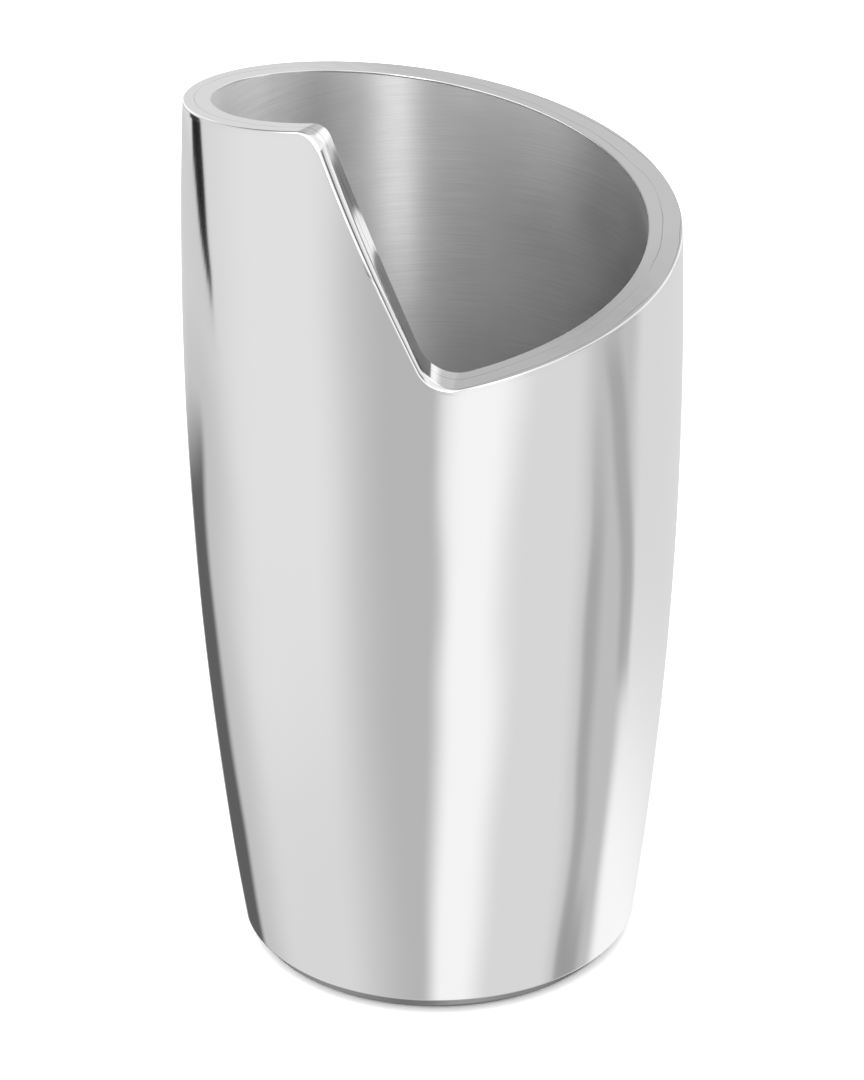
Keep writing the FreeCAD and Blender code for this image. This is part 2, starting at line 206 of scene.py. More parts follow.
def outward(angle):
    """Level directions away from the axis."""
    return around(angle, 1.0, 0.0)


def wall_normal(angle, height):
    """Normal of the barrel wall."""
    return unit(around(angle, 1.0, -wall_slope(height)))


def on_outer_wall(drop, inset):
    """Angle, radius and height of the rim line where it meets the barrel wall moved in by inset.

    The radius and the height depend on each other, and three rounds settle them.
    """
    radius = BELLY_RADIUS - inset
    for _ in range(3):
        angle, height = rim_line(radius, drop)
        radius = wall_radius(height, inset)
    return angle, radius, height


# ---- meshes ----

SHARP_COSINE = 0.6          # a corner's normal that is further off its face's marks a sharp edge


def corner_normals(mesh, normals):
    """The exact normal at each corner of each face, or the face's own normal at a sharp edge."""
    corner_vertices = np.empty(len(mesh.loops), dtype=np.int32)
    mesh.loops.foreach_get("vertex_index", corner_vertices)
    corner_counts = np.empty(len(mesh.polygons), dtype=np.int32)
    mesh.polygons.foreach_get("loop_total", corner_counts)
    face_normals = np.empty(len(mesh.polygons) * 3, dtype=np.float32)
    mesh.polygons.foreach_get("normal", face_normals)
    own = np.repeat(face_normals.reshape(-1, 3), corner_counts, axis=0)
    exact = unit(normals)[corner_vertices]
    sharp = np.einsum("ij,ij->i", exact, own) < SHARP_COSINE
    exact[sharp] = own[sharp]
    return exact


def mesh_object(name, points, normals, faces):
    """A smooth mesh with its exact normals, its faces turned outwards."""
    corners = points[faces[:, :3]]
    volume = np.einsum("ij,ij->i", corners[:, 0], np.cross(corners[:, 1], corners[:, 2])).sum()
    if volume < 0:
        faces = faces[:, ::-1]
    mesh = bpy.data.meshes.new(name)
    mesh.from_pydata(points.tolist(), [], [face[face >= 0].tolist() for face in faces])
    mesh.shade_smooth()
    mesh.normals_split_custom_set(corner_normals(mesh, normals).tolist())
    piece = bpy.data.objects.new(name, mesh)
    bpy.context.scene.collection.objects.link(piece)
    return piece


def closed_grid_faces(columns, rows):
    """Quads of a grid of points that closes on itself both ways."""
    column, row = np.meshgrid(np.arange(columns), np.arange(rows), indexing="ij")
    next_column, next_row = (column + 1) % columns, (row + 1) % rows
    quads = np.stack([column * rows + row, next_column * rows + row,
                      next_column * rows + next_row, column * rows + next_row], axis=-1)
    return quads.reshape(-1, 4)


def loop_mesh(name, samples):
    """A piece whose section is a closed loop of samples.

    Each sample is a (points, normals) pair that runs round the wall.
    """
    points = np.stack([sample[0] for sample in samples], axis=1)
    normals = np.stack([sample[1] for sample in samples], axis=1)
    faces = closed_grid_faces(points.shape[0], points.shape[1])
    return mesh_object(name, points.reshape(-1, 3), normals.reshape(-1, 3), faces)


Corner = namedtuple("Corner", "radius height round steps", defaults=(SMALL_ROUND, 4))


def rounded_section(corners):
    """Points and normals of a closed section in (radius, height), with its corners rounded.

    The corners run counter-clockwise. A corner on the axis isn't rounded.
    """
    section = []
    count = len(corners)
    for number, corner in enumerate(corners):
        here = np.array([corner.radius, corner.height])
        before, after = (np.array(corners[(number + step) % count][:2]) for step in (-1, 1))
        way_in, way_out = unit(here - before), unit(after - here)
        normals = [np.array([way[1], -way[0]]) for way in (way_in, way_out)]
        if corner.radius == 0:
            normal = normals[0] if before[0] > 0 else normals[1]
            section.append((here, normal))
            continue
        cross = way_in[0] * way_out[1] - way_in[1] * way_out[0]
        turn = math.atan2(cross, way_in @ way_out)
        bulge = math.copysign(1.0, turn)
        start = here - way_in * corner.round * math.tan(abs(turn) / 2)
        centre = start - normals[0] * corner.round * bulge
        first = math.atan2(normals[0][1], normals[0][0])
        for step in range(corner.steps + 1):
            way = first + turn * step / corner.steps
            normal = np.array([math.cos(way), math.sin(way)])
            section.append((centre + normal * corner.round * bulge, normal))
    return section


def split_long_edges(section, longest):
    """Add points on the section's straight edges, so that no face is much longer than longest."""
    result = []
    for (point, normal), (next_point, _) in zip(section, section[1:] + section[:1]):
        result.append((point, normal))
        on_axis = point[0] == 0 and next_point[0] == 0
        pieces = 1 if on_axis else math.ceil(np.linalg.norm(next_point - point) / longest)
        edge_normal = unit(np.array([(next_point - point)[1], -(next_point - point)[0]]))
        for piece in range(1, pieces):
            result.append((point + (next_point - point) * piece / pieces, edge_normal))
    return result


def pole_fans(first_pole, rows):
    """Triangles from two poles to the first and last rings of a turned piece.

    The points run ring by ring at each station, and then come the poles.
    """
    column = np.arange(TURNED_STATIONS)
    next_column = (column + 1) % TURNED_STATIONS
    pole = np.full(TURNED_STATIONS, first_pole)
    no_corner = np.full(TURNED_STATIONS, -1)
    start_fan = np.stack([pole, next_column * rows, column * rows, no_corner], axis=-1)
    end_fan = np.stack([pole + 1, column * rows + rows - 1, next_column * rows + rows - 1,
                        no_corner], axis=-1)
    return np.vstack([start_fan, end_fan])


def turned_mesh(name, corners, longest=4 * MM):
    """A piece turned about the Z axis from a closed section of rounded corners."""
    section = split_long_edges(rounded_section(corners), longest)
    on_axis = [sample[0][0] == 0 for sample in section]
    poles = []
    if any(on_axis):
        start = next(i for i in range(len(section))
                     if on_axis[i] and not on_axis[(i + 1) % len(section)])
        section = section[start:] + section[:start]
        poles = [section[0], section[-1]]
    ringed = [sample for sample in section if sample[0][0] > 0]
    rows = len(ringed)
    angle = np.arange(TURNED_STATIONS) * 2 * math.pi / TURNED_STATIONS
    points = np.stack([around(angle, p[0], p[1]) for p, _ in ringed], axis=1).reshape(-1, 3)
    normals = np.stack([around(angle, n[0], n[1]) for _, n in ringed], axis=1).reshape(-1, 3)
    faces = closed_grid_faces(TURNED_STATIONS, rows)
    if poles:
        faces = faces.reshape(TURNED_STATIONS, rows, 4)[:, :-1].reshape(-1, 4)
        faces = np.vstack([faces, pole_fans(len(points), rows)])
        points = np.vstack([points] + [[0, 0, pole[0][1]] for pole in poles])
        normals = np.vstack([normals] + [[0, 0, pole[1][1]] for pole in poles])
    return mesh_object(name, points, normals, faces)


# ---- pieces ----

def quarter_turn(steps):
    """Cosine and sine at even steps from 0 to a right angle."""
    return [(math.cos(way), math.sin(way)) for way in np.linspace(0, math.pi / 2, steps)]


def make_outer_shell():
    """The polished barrel: outside down to the rolled lower edge, and inside up to the rim."""
    top_angle, _, top_height = on_outer_wall(RIM_SHEET, 0.0)
    inner_angle, _, inner_top = on_outer_wall(RIM_SHEET, SHELL_SHEET)
    bottom = shell_base_height
    samples = []
    for share in np.linspace(0, 1, WALL_ROWS + 1):
        height = top_height + share * (bottom + SHELL_EDGE_ROUND - top_height)
        samples.append((around(top_angle, wall_radius(height), height),
                        wall_normal(top_angle, height)))
    edge_radius = wall_radius(bottom + SHELL_EDGE_ROUND) - SHELL_EDGE_ROUND
    for across, down in quarter_turn(SHELL_EDGE_STEPS)[1:]:
        radius = edge_radius + SHELL_EDGE_ROUND * across
        height = bottom + SHELL_EDGE_ROUND * (1 - down)
        samples.append((around(top_angle, radius, height), around(top_angle, across, -down)))
    inner_start = wall_radius(bottom + SMALL_ROUND, SHELL_SHEET)
    for down, across in quarter_turn(SMALL_ROUND_STEPS):
        radius = inner_start + SMALL_ROUND * (1 - across)
        height = bottom + SMALL_ROUND * (1 - down)
        samples.append((around(inner_angle, radius, height), around(inner_angle, -across, -down)))
    for share in np.linspace(0, 1, HIDDEN_ROWS)[1:]:
        height = bottom + SMALL_ROUND + share * (inner_top - bottom - SMALL_ROUND)
        samples.append((around(inner_angle, wall_radius(height, SHELL_SHEET), height),
                        -wall_normal(inner_angle, height)))
    return loop_mesh("polished_shell", samples)


def make_liner_wall():
    """The straight brushed tube between the pressed floor and the rim strip."""
    outer_radius = bore_radius + LINER_SHEET
    inner_angle, inner_top = rim_line(bore_radius, LINER_BRUSHED_TO)
    outer_angle, outer_top = rim_line(outer_radius, LINER_BRUSHED_TO)
    samples = []
    for share in np.linspace(0, 1, WALL_ROWS + 1):
        height = inner_top + share * (dish_top_height - inner_top)
        samples.append((around(inner_angle, bore_radius, height), -outward(inner_angle)))
    for share in np.linspace(0, 1, HIDDEN_ROWS):
        height = dish_top_height + share * (outer_top - dish_top_height)
        samples.append((around(outer_angle, outer_radius, height), outward(outer_angle)))
    return loop_mesh("brushed_liner", samples)


def place_on_face(radius):
    """Angle, radius and height of the rim's face at each station."""
    angle, height = rim_line(radius, 0.0)
    return angle, radius, height


def rim_face_normal(radius):
    """Normal of the rim's face at each station, at a radius."""
    step = 0.1 * MM
    points = around(*place_on_face(radius))
    along = np.roll(points, -1, axis=0) - np.roll(points, 1, axis=0)
    across = around(*place_on_face(radius + step)) - around(*place_on_face(radius - step))
    normal = unit(np.cross(across, along))
    return normal * np.sign(normal[:, 2:])


def outer_round_sizes():
    """How far the rim's outer rounding reaches across and down at each station."""
    stretch, share = stations()
    by_hand = np.choose(stretch, [0.0, share, 1.0, 1 - share])
    by_hand = by_hand * by_hand * (3 - 2 * by_hand)
    return (RIM_OUTER_ROUND + by_hand * (reach - RIM_OUTER_ROUND) for reach in NOTCH_OUTER_ROUND)


def make_rim_band():
    """The polished strip over both walls, from its outer lower edge over the face to the bore."""
    samples = []
    round_across, round_down = outer_round_sizes()
    for drop in (RIM_SHEET, (RIM_SHEET + round_down) / 2):
        angle, radius, height = on_outer_wall(drop, 0.0)
        samples.append((around(angle, radius, height), wall_normal(angle, height)))
    _, edge_radius, _ = on_outer_wall(0.0, round_across)
    edge_normal = rim_face_normal(edge_radius)
    for across, up in quarter_turn(RIM_OUTER_STEPS):
        angle, radius, height = on_outer_wall(round_down * (1 - up), round_across * (1 - across))
        normal = ((across / round_across)[:, None] * wall_normal(angle, height)
                  + (up / round_down)[:, None] * edge_normal)
        samples.append((around(angle, radius, height), normal))
    inner_radius = bore_radius + RIM_INNER_ROUND
    for share in np.linspace(0, 1, RIM_FACE_STEPS)[1:-1]:
        radius = edge_radius + share * (inner_radius - edge_radius)
        samples.append((around(*place_on_face(radius)), rim_face_normal(radius)))
    inner_normal = rim_face_normal(inner_radius)
    for up, across in quarter_turn(RIM_INNER_STEPS):
        radius = inner_radius - RIM_INNER_ROUND * across
        angle, height = rim_line(radius, RIM_INNER_ROUND * (1 - up))
        normal = up * inner_normal - across * outward(angle)
        samples.append((around(angle, radius, height), normal))
    inward = -outward(angle)
    liner_outside = bore_radius + LINER_SHEET
    for radius, drop, normal in ((bore_radius, LINER_BRUSHED_TO, inward),
                                 (liner_outside, LINER_BRUSHED_TO, -inner_normal),
                                 (liner_outside, RIM_SHEET, -inner_normal)):
        angle, height = rim_line(radius, drop)
        samples.append((around(angle, radius, height), normal))
    return loop_mesh("polished_rim", samples)


def make_liner_floor():
    """The pressed dish. Its upper edge meets the liner, so its corner there stays sharp."""
    outer_radius = bore_radius + LINER_SHEET
    return turned_mesh("pressed_floor", [
        Corner(0, dish_underside),
        Corner(outer_radius, dish_underside, DISH_CORNER + LINER_SHEET, 20),
        Corner(outer_radius, dish_top_height, SHARP_ROUND, 1),
        Corner(bore_radius, dish_top_height, SHARP_ROUND, 1),
        Corner(bore_radius, bore_floor_height, DISH_CORNER, 20),
        Corner(0, bore_floor_height),
    ])


def make_base_plate():
    """The pressed plate: a flange inside the shell, the step, and the raised middle."""
    flange_radius = wall_radius(shell_base_height, SHELL_SHEET)
    flange_under, flange_top = shell_base_height, shell_base_height + BASE_SHEET
    panel_under, panel_top = base_top - BASE_SHEET, base_top
    foot_inside, foot_top = FOOT_RADIUS - BASE_SHEET, base_underside + BASE_SHEET
    slope_end = BASE_PANEL_RADIUS + BASE_PANEL_SLOPE
    return turned_mesh("pressed_base", [
        Corner(VENT_RADIUS, panel_under),
        Corner(BASE_PANEL_RADIUS, panel_under, PRESS_ROUND),
        Corner(slope_end, base_underside, PRESS_ROUND),
        Corner(FOOT_RADIUS, base_underside, FOOT_CORNER, 10),
        Corner(FOOT_RADIUS, flange_under, FLANGE_ROUND),
        Corner(flange_radius, flange_under),
        Corner(flange_radius, flange_top),
        Corner(foot_inside, flange_top),
        Corner(foot_inside, foot_top, FOOT_CORNER - BASE_SHEET, 6),
        Corner(slope_end, foot_top, PRESS_ROUND),
        Corner(BASE_PANEL_RADIUS, panel_top, PRESS_ROUND),
        Corner(VENT_RADIUS, panel_top),
    ])


def make_vent_plug():
    """The soft plug: its head bears on the raised middle, and its barb grips from above."""
    head_top = base_top - BASE_SHEET
    return turned_mesh("soft_plug", [
        Corner(0, plug_underside),
        Corner(PLUG_HEAD_RADIUS, plug_underside, 0.4 * MM, 6),
        Corner(PLUG_HEAD_RADIUS, head_top, 0.1 * MM),
        Corner(VENT_RADIUS, head_top, 0.05 * MM),
        Corner(VENT_RADIUS, base_top, 0.05 * MM),
        Corner(PLUG_BARB_RADIUS, base_top, 0.2 * MM),
        Corner(PLUG_TIP_RADIUS, plug_top, 0.3 * MM),
        Corner(0, plug_top),
    ], longest=1 * MM)


def make_non_slip_ring():
    """The rubber ring it stands on, rounded where it meets the table."""
    inner, outer = RING_RADII
    return turned_mesh("rubber_ring", [
        Corner(inner, 0, RING_ROUND, 6),
        Corner(outer, 0, RING_ROUND, 6),
        Corner(outer, ring_height, 0.1 * MM),
        Corner(inner, ring_height, 0.1 * MM),
    ], longest=2 * MM)


def make_ring_adhesive():
    """The film between the ring and the base plate, a little narrower than the ring."""
    inner, outer = RING_RADII[0] + FILM_MARGIN, RING_RADII[1] - FILM_MARGIN
    return turned_mesh("adhesive_film", [
        Corner(inner, ring_height, FILM_ROUND, 2),
        Corner(outer, ring_height, FILM_ROUND, 2),
        Corner(outer, base_underside, FILM_ROUND, 2),
        Corner(inner, base_underside, FILM_ROUND, 2),
    ], longest=2 * MM)


# ---- materials ----

ACROSS_TANGENT = 0.25       # a quarter turn: highlights spread across the brushing


class Surface:
    """A node material that is built up step by step round one Principled shader."""

    def __init__(self, name, colour, metallic, roughness):
        self.material = bpy.data.materials.new(name)
        self.material.use_nodes = True
        self.nodes = self.material.node_tree.nodes
        self.links = self.material.node_tree.links
        self.shader = self.nodes["Principled BSDF"]
        self.shader.inputs["Base Color"].default_value = (*colour, 1)
        self.shader.inputs["Metallic"].default_value = metallic
        self.shader.inputs["Roughness"].default_value = roughness
        self.place = self.nodes.new("ShaderNodeTexCoord").outputs["Object"]
        self.last_bump = None

    def noise(self, scales, detail=3.0):
        """Noise over the object's own space, with its own scale along X, Y and Z, per metre."""
        mapping = self.nodes.new("ShaderNodeMapping")
        mapping.inputs["Scale"].default_value = scales
        self.links.new(self.place, mapping.inputs["Vector"])
        return self.texture(mapping.outputs["Vector"], detail)

    def distance(self, scale):
        """Distance from the Z axis, times scale."""
        flat = self.nodes.new("ShaderNodeVectorMath")
        flat.operation = "MULTIPLY"
        flat.inputs[1].default_value = (scale, scale, 0)
        self.links.new(self.place, flat.inputs[0])
        length = self.nodes.new("ShaderNodeVectorMath")
        length.operation = "LENGTH"
        self.links.new(flat.outputs["Vector"], length.inputs[0])
        return length.outputs["Value"]

    def ring_noise(self, scale, detail=3.0):
        """Noise that changes only with the distance from the Z axis, as turned metal does."""
        return self.texture(self.distance(scale), detail)

    def lines(self, value, spacing, width):
        """1 where a value is a whole number of spacings, falling to 0 at half a width away."""
        back_and_forth = self.combined("PINGPONG", value, spacing / 2)
        return self.between(back_and_forth, 0, width / 2, 1, 0)

    def texture(self, vector, detail):
        """Noise over a vector that is already scaled."""
        noise = self.nodes.new("ShaderNodeTexNoise")
        noise.inputs["Scale"].default_value = 1.0
        noise.inputs["Detail"].default_value = detail
        self.links.new(vector, noise.inputs["Vector"])
        return noise.outputs["Fac"]

    def between(self, value, low_in, high_in, low_out, high_out):
        """Stretch a range of a value to another, held at its ends."""
        ranged = self.nodes.new("ShaderNodeMapRange")
        for name, number in (("From Min", low_in), ("From Max", high_in),
                             ("To Min", low_out), ("To Max", high_out)):
            ranged.inputs[name].default_value = number
        self.links.new(value, ranged.inputs["Value"])
        return ranged.outputs["Result"]

    def combined(self, operation, *values):
        """A sum, product or the like of values, each a number or another node's output."""
        combination = self.nodes.new("ShaderNodeMath")
        combination.operation = operation
        for socket, value in zip(combination.inputs, values):
            if isinstance(value, (int, float)):
                socket.default_value = value
            else:
                self.links.new(value, socket)
        return combination.outputs["Value"]

    def vary_roughness(self, value):
        """Take the roughness from a value."""
        self.links.new(value, self.shader.inputs["Roughness"])

    def vary_colour(self, value, at_zero, at_one):
        """Blend two colours by a value."""
        mix = self.nodes.new("ShaderNodeMix")
        mix.data_type = "RGBA"
        mix.inputs["A"].default_value = (*at_zero, 1)
        mix.inputs["B"].default_value = (*at_one, 1)
        self.links.new(value, mix.inputs["Factor"])
        self.links.new(mix.outputs["Result"], self.shader.inputs["Base Color"])

    def add_bump(self, height, depth):
        """Lay a relief of a depth in metres over the reliefs already there."""
        bump = self.nodes.new("ShaderNodeBump")
        bump.inputs["Strength"].default_value = 1.0
        bump.inputs["Distance"].default_value = depth
        self.links.new(height, bump.inputs["Height"])
        if self.last_bump is not None:
            self.links.new(self.last_bump, bump.inputs["Normal"])
        self.last_bump = bump.outputs["Normal"]
        self.links.new(self.last_bump, self.shader.inputs["Normal"])

    def brush_round_axis(self, anisotropy):
        """Brush lines that run round the Z axis."""
        tangent = self.nodes.new("ShaderNodeTangent")
        tangent.direction_type = "RADIAL"
        tangent.axis = "Z"
        self.shader.inputs["Anisotropic"].default_value = anisotropy
        self.shader.inputs["Anisotropic Rotation"].default_value = ACROSS_TANGENT
        self.links.new(tangent.outputs["Tangent"], self.shader.inputs["Tangent"])


def polished_steel():
    """Mirror-polished sheet: slow waves from the polishing wheel, haze and hairline scratches."""
    steel = Surface("polished_steel", (0.90, 0.90, 0.905), 1.0, 0.05)
    steel.vary_roughness(steel.between(steel.noise((18, 18, 12), 4.0), 0.35, 0.7, 0.045, 0.085))
    steel.add_bump(steel.noise((22, 22, 12), 1.0), 1.5 * MM)
    steel.add_bump(steel.noise((900, 900, 5200), 2.0), 0.0004 * MM)
    return steel.material


def rim_steel():
    """Polished strip, finished by hand: hazier than the wall, with faint dark lines along it
    painted into its colour as painted reflections.
    """
    steel = Surface("rim_steel", (0.89, 0.89, 0.895), 1.0, 0.10)
    steel.vary_roughness(steel.between(steel.noise((60, 60, 60), 4.0), 0.3, 0.7, 0.07, 0.13))
    wander = steel.between(steel.noise((16, 16, 16), 4.0), 0.3, 0.7, 0, 3.5 * MM)
    # painted reflection: dark lines laid into the rim's colour, standing in for dark lines mirrored
    # in its polished face
    painted_reflection_lines = steel.lines(steel.combined("ADD", steel.distance(1.0), wander), 4.5 * MM, 0.30 * MM)
    painted_reflection_patches = steel.between(steel.noise((26, 26, 26), 2.0), 0.42, 0.55, 0, 0.75)
    steel.vary_colour(steel.combined("MULTIPLY", painted_reflection_lines, painted_reflection_patches),
                      (0.89, 0.89, 0.895), (0.30, 0.30, 0.31))
    steel.add_bump(steel.noise((60, 60, 60), 2.0), 0.3 * MM)
    steel.add_bump(steel.ring_noise(9000, 2.0), 0.0008 * MM)
    return steel.material


def brushed_steel():
    """Steel brushed round the bore: fine lines, broken longer strokes, and slow changes of tone."""
    steel = Surface("brushed_liner_steel", (0.74, 0.74, 0.745), 1.0, 0.5)
    steel.brush_round_axis(0.96)
    fine = steel.noise((60, 60, 9000), 3.0)
    strokes = steel.noise((130, 130, 3600), 1.0)
    slow = steel.noise((22, 22, 30), 3.0)
    steel.vary_colour(steel.between(steel.combined("MULTIPLY", fine, slow), 0.15, 0.35, 0, 1),
                      (0.74, 0.74, 0.745), (0.88, 0.88, 0.885))
    steel.vary_roughness(steel.between(slow, 0.3, 0.7, 0.46, 0.54))
    steel.add_bump(fine, 0.004 * MM)
    steel.add_bump(steel.between(strokes, 0.66, 0.72, 0, 1), 0.012 * MM)
    return steel.material


def turned_floor_steel():
    """The liner's floor, brushed in rings."""
    steel = Surface("ringed_floor_steel", (0.64, 0.64, 0.645), 1.0, 0.32)
    steel.brush_round_axis(0.5)
    rings = steel.ring_noise(7000)
    steel.vary_colour(rings, (0.58, 0.58, 0.585), (0.70, 0.70, 0.705))
    steel.vary_roughness(steel.between(steel.noise((30, 30, 30)), 0.3, 0.7, 0.28, 0.40))
    steel.add_bump(rings, 0.005 * MM)
    return steel.material


def base_steel_painted_shade():
    """The base plate: duller, with an uneven haze and faint rings; its colour is darkened as
    painted shade for the shadowed floor its step would mirror.
    """
    # painted shade: the dark base colour stands in for the shadow by the foot that the polished
    # step would mirror
    steel = Surface("base_plate_steel_painted_shade", (0.32, 0.32, 0.325), 1.0, 0.2)
    steel.vary_roughness(steel.between(steel.noise((90, 90, 90), 5.0), 0.3, 0.7, 0.14, 0.30))
    steel.add_bump(steel.ring_noise(5200), 0.002 * MM)
    return steel.material


def ring_rubber():
    """Black rubber with a fine matt grain."""
    rubber = Surface("ring_rubber", (0.03, 0.03, 0.032), 0.0, 0.62)
    rubber.vary_colour(rubber.noise((300, 300, 300)), (0.022, 0.022, 0.024), (0.045, 0.045, 0.047))
    rubber.vary_roughness(rubber.between(rubber.noise((900, 900, 900)), 0.3, 0.7, 0.5, 0.72))
    rubber.add_bump(rubber.noise((2600, 2600, 2600)), 0.03 * MM)
    return rubber.material


def plug_rubber():
    """Dark grey silicone rubber."""
    rubber = Surface("plug_rubber", (0.16, 0.16, 0.165), 0.0, 0.5)
    rubber.vary_roughness(rubber.between(rubber.noise((1200, 1200, 1200)), 0.3, 0.7, 0.42, 0.6))
    rubber.add_bump(rubber.noise((3200, 3200, 3200)), 0.02 * MM)
    return rubber.material


def adhesive():
    """Pale acrylic film."""
    film = Surface("adhesive_film", (0.75, 0.74, 0.70), 0.0, 0.35)
    film.vary_colour(film.noise((400, 400, 400)), (0.70, 0.69, 0.64), (0.80, 0.79, 0.76))
    film.add_bump(film.noise((1500, 1500, 1500)), 0.01 * MM)
    return film.material


def finish_piece(piece, material, node):
    """Give a piece its material, hang it under the root body, and hide its CAD node."""
    piece.data.materials.append(material)
    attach(piece, "root")
    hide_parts(node)


# ---- studio ----

# Reflectors and flags on the studio dome, laid over each other in this order. They were placed so
# that the polished wall, seen from the camera, reflects what the reference photograph shows there,
# after tracing its light and dark back through the mirror. They suit that one view, and from other
# sides they show as streaks that mean nothing. Azimuth is counted in degrees from the front,
# towards +X, and elevation from the horizon. Along each, a panel runs from nothing at its first
# number to its full level at the second, and from there back from the third to the fourth. level
# is the radiance, and lean shifts the azimuth per degree of elevation above the panel's own middle.
Panel = namedtuple("Panel", "azimuths elevations level lean", defaults=(0.0,))

DOME_RADIUS = 4.0
DOME_GRID = (900, 601)      # round, and from bottom to top
DOME_LEVEL = 0.745
DOME_PANELS = {
    "floor_shade": Panel((-200, -190, 190, 200), (-92, -91, -68, -58), 0.32),
    "ceiling": Panel((-200, -190, 190, 200), (8, 26, 91, 92), 0.60),
    "front_sky": Panel((-135, -80, 100, 140), (14, 30, 91, 92), 1.12),
    "left_sky": Panel((-185, -160, -108, -78), (22, 34, 80, 90), 0.30),
    "right_sky": Panel((40, 60, 130, 150), (22, 36, 91, 92), 0.95),
    "left_window": Panel((-88, -66, -16, -6), (2, 12, 24, 34), 2.8),
    "back_shade": Panel((170, 178, 195, 202), (14, 22, 36, 44), 0.52),
    "left_card": Panel((-125, -85, -50, -20), (-42, -27, -12, 0), 0.83),
    "left_shade": Panel((-182, -150, -134, -98), (-60, -50, -24, -18), 0.58),
    "front_flag": Panel((-60, -18, 0, 8), (-60, -50, -14, -6), 0.51),
    "front_softbox": Panel((0, 14, 26, 48), (-60, -50, 8, 16), 1.0, 0.6),
    "front_softbox_top": Panel((9, 11, 19, 36), (2, 12, 28, 44), 4.5),
    "right_flag": Panel((66, 84, 101, 111), (-60, -50, -14, 0), 0.56),
    "right_line": Panel((76, 81, 83, 90), (-60, -50, -30, -22), 0.42),
    "right_line_foot": Panel((78, 84, 92, 100), (-60, -50, -44, -39), 0.36),
    "right_slant": Panel((90, 96, 100, 106), (-33, -30, -22, -18), 0.42, -1.6),
    "right_edge_flag": Panel((52, 58, 70, 78), (1, 5, 19, 23), 0.10),
    "right_card": Panel((90, 100, 150, 165), (-20, -14, 20, 30), 0.97),
    "peak_card": Panel((112, 118, 142, 150), (12, 20, 42, 48), 1.15),
    "notch_shade": Panel((120.5, 122.5, 130.5, 133), (-2.5, -1, 6, 8), 0.20),
    "back_strip": Panel((101, 113, 190, 200), (-60, -50, -38, -27), 1.02),
    "back_glow": Panel((164, 176, 187, 196), (-60, -50, -24, -20), 1.05),
    "back_left_card": Panel((-174, -168, -150, -140), (-8, -2, 20, 26), 1.1),
    "left_flag": Panel((-168, -161, -140, -132), (-60, -50, -25.4, -22.8), 0.12),
    "left_gap": Panel((-160.5, -159, -142, -141), (-20.6, -19.8, -16, -5), 0.012, -3.4),
    "left_gap_side": Panel((-175, -170, -127, -125), (-21.5, -20.5, -18.2, -17.4), 0.66, -9.0),
}


def faded(value, start, full, full_end, end):
    """1 between full and full_end, falling smoothly to 0 at start and at end."""
    share = np.clip(np.minimum((value - start) / (full - start), (end - value) / (end - full_end)),
                    0, 1)
    return share * share * (3 - 2 * share)


def dome_light(azimuth, elevation):
    """Radiance of the studio dome in a direction."""
    level = np.full(azimuth.shape, DOME_LEVEL)
    for panel in DOME_PANELS.values():
        middle_azimuth = (panel.azimuths[0] + panel.azimuths[3]) / 2
        middle_elevation = (panel.elevations[0] + panel.elevations[3]) / 2
        offset = azimuth - middle_azimuth - panel.lean * (elevation - middle_elevation)
        offset = (offset + 180) % 360 - 180
        mask = (faded(offset, *(edge - middle_azimuth for edge in panel.azimuths))
                * faded(elevation, *panel.elevations))
        level = level + mask * (panel.level - level)
    return level


def make_dome():
    """A dome that only reflections see, bright and dark where the studio's panels stand."""
    columns, rows = DOME_GRID
    azimuth = np.arange(columns) * 360 / columns - 180
    elevation = np.linspace(-90, 90, rows)
    azimuth, elevation = np.meshgrid(azimuth, elevation, indexing="ij")
    level = dome_light(azimuth, elevation).ravel()
    around_way, up_way = np.radians(azimuth), np.radians(elevation)
    flat = np.cos(up_way)
    points = DOME_RADIUS * np.stack([np.sin(around_way) * flat, -np.cos(around_way) * flat,
                                     np.sin(up_way)], axis=-1).reshape(-1, 3)
    faces = closed_grid_faces(columns, rows).reshape(columns, rows, 4)[:, :-1].reshape(-1, 4)
    mesh = bpy.data.meshes.new("studio_dome")
    mesh.from_pydata(points.tolist(), [], faces.tolist())
    glow = mesh.color_attributes.new("glow", "FLOAT_COLOR", "POINT")
    glow.data.foreach_set("color", np.stack([level, level, level, np.ones_like(level)],
                                            axis=-1).ravel())
    dome = bpy.data.objects.new("studio_dome", mesh)
    bpy.context.scene.collection.objects.link(dome)
    for ray in ("camera", "diffuse", "transmission", "volume_scatter", "shadow"):
        setattr(dome, f"visible_{ray}", False)
    material = bpy.data.materials.new("studio_dome")
    material.use_nodes = True
    nodes, links = material.node_tree.nodes, material.node_tree.links
    nodes.clear()
    attribute = nodes.new("ShaderNodeVertexColor")
    attribute.layer_name = "glow"
    emission = nodes.new("ShaderNodeEmission")
    output = nodes.new("ShaderNodeOutputMaterial")
    links.new(attribute.outputs["Color"], emission.inputs["Color"])
    links.new(emission.outputs["Emission"], output.inputs["Surface"])
    material.cycles.emission_sampling = "NONE"
    dome.data.materials.append(material)


FLOOR_RADIUS = 6.0
FLOOR_GAP = 0.02 * MM       # keeps the ring and the floor from sharing a plane


def make_floor():
    """A plain pale floor just under the ring, which the polished wall doesn't mirror."""
    bpy.ops.mesh.primitive_circle_add(vertices=128, radius=FLOOR_RADIUS, fill_type="NGON",
                                      location=(0, 0, cad_box[0].z - FLOOR_GAP))
    floor = bpy.context.object
    floor.name = "floor"
    floor.visible_glossy = False
    material = bpy.data.materials.new("floor")
    material.use_nodes = True
    shader = material.node_tree.nodes["Principled BSDF"]
    shader.inputs["Base Color"].default_value = (0.92, 0.92, 0.92, 1)
    shader.inputs["Roughness"].default_value = 1.0
    shader.inputs["Specular IOR Level"].default_value = 0.0
    floor.data.materials.append(material)


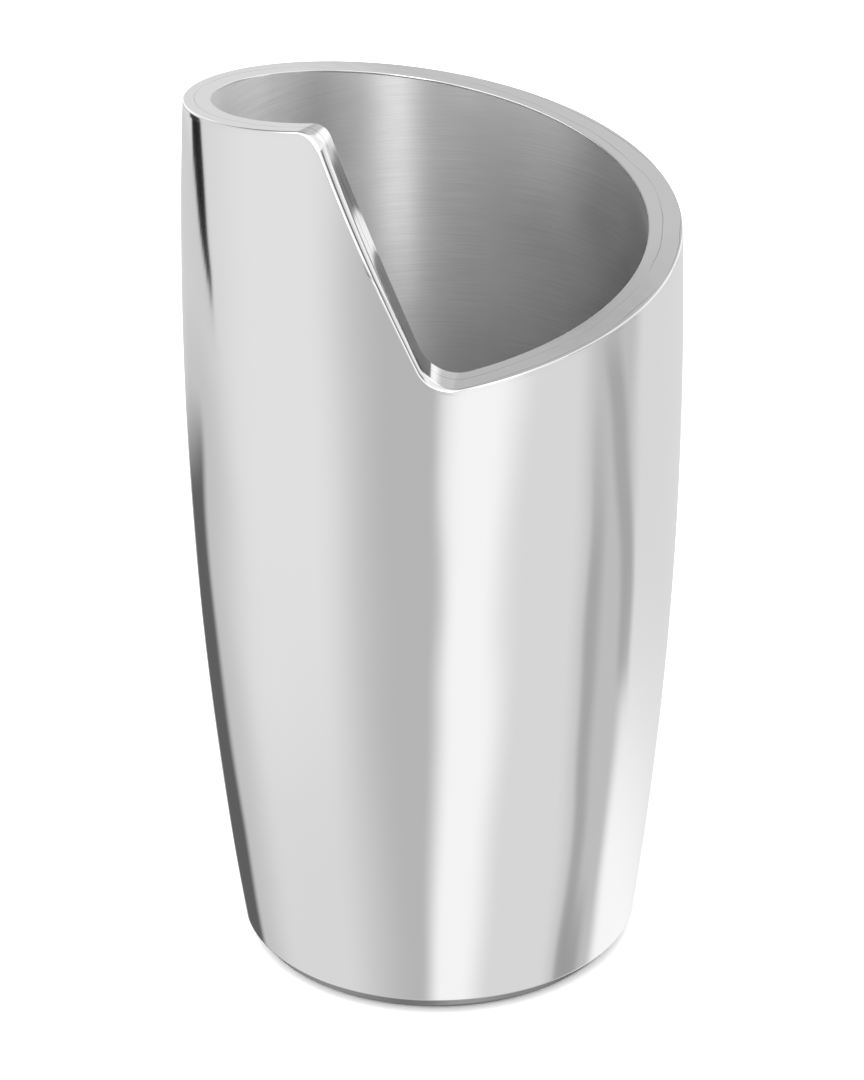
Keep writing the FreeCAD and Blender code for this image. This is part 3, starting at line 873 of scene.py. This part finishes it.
def make_lights():
    """Even white light all round, and one large soft light from the upper left, behind.

    Neither shows in reflections, which are left to the dome.
    """
    world = bpy.data.worlds.new("studio")
    bpy.context.scene.world = world
    world.use_nodes = True
    background = world.node_tree.nodes["Background"]
    background.inputs["Color"].default_value = (1, 1, 1, 1)
    background.inputs["Strength"].default_value = 2.3
    world.cycles_visibility.glossy = False
    key = bpy.data.lights.new("key", "AREA")
    key.shape = "DISK"
    key.size = 1.5
    key.energy = 6
    lamp = bpy.data.objects.new("key", key)
    lamp.location = (-0.9, 0.5, 1.6)
    lamp.rotation_euler = (-Vector(lamp.location)).to_track_quat("-Z", "Y").to_euler()
    lamp.visible_glossy = False
    bpy.context.scene.collection.objects.link(lamp)


# ---- camera ----

# Rounded from a fit of the view to the outline in the reference photograph.
CAMERA_PLACE = Vector((0.0, -1.0087, 0.6319))
CAMERA_PITCH = math.radians(-27.33)
CAMERA_YAW = math.radians(-0.05)
CAMERA_ROLL = math.radians(-0.66)
CAMERA_LENS = 147.9


def make_camera():
    """A long lens, looking down at the mouth, with the slight roll of a hand-levelled camera."""
    forward = Vector((math.sin(CAMERA_YAW) * math.cos(CAMERA_PITCH),
                      math.cos(CAMERA_YAW) * math.cos(CAMERA_PITCH), math.sin(CAMERA_PITCH)))
    right = Vector((math.cos(CAMERA_YAW), -math.sin(CAMERA_YAW), 0))
    up = right.cross(forward)
    turned_right = math.cos(CAMERA_ROLL) * right + math.sin(CAMERA_ROLL) * up
    turned_up = math.cos(CAMERA_ROLL) * up - math.sin(CAMERA_ROLL) * right
    camera_data = bpy.data.cameras.new("camera")
    camera_data.lens = CAMERA_LENS
    camera_data.clip_start = 0.01
    camera = bpy.data.objects.new("camera", camera_data)
    rotation = Matrix((turned_right, turned_up, -forward)).transposed()
    camera.matrix_world = Matrix.Translation(CAMERA_PLACE) @ rotation.to_4x4()
    bpy.context.scene.collection.objects.link(camera)
    bpy.context.scene.camera = camera


# ---- scene ----

bpy.context.scene.view_settings.view_transform = "Standard"
make_camera()
make_lights()
make_floor()
make_dome()

finish_piece(make_outer_shell(), polished_steel(), "outer_shell")
finish_piece(make_rim_band(), rim_steel(), "rim_band")
finish_piece(make_liner_wall(), brushed_steel(), "liner_wall")
finish_piece(make_liner_floor(), turned_floor_steel(), "liner_floor")
finish_piece(make_base_plate(), base_steel_painted_shade(), "base_plate")
finish_piece(make_vent_plug(), plug_rubber(), "vent_plug")
finish_piece(make_non_slip_ring(), ring_rubber(), "non_slip_ring")
finish_piece(make_ring_adhesive(), adhesive(), "ring_adhesive")
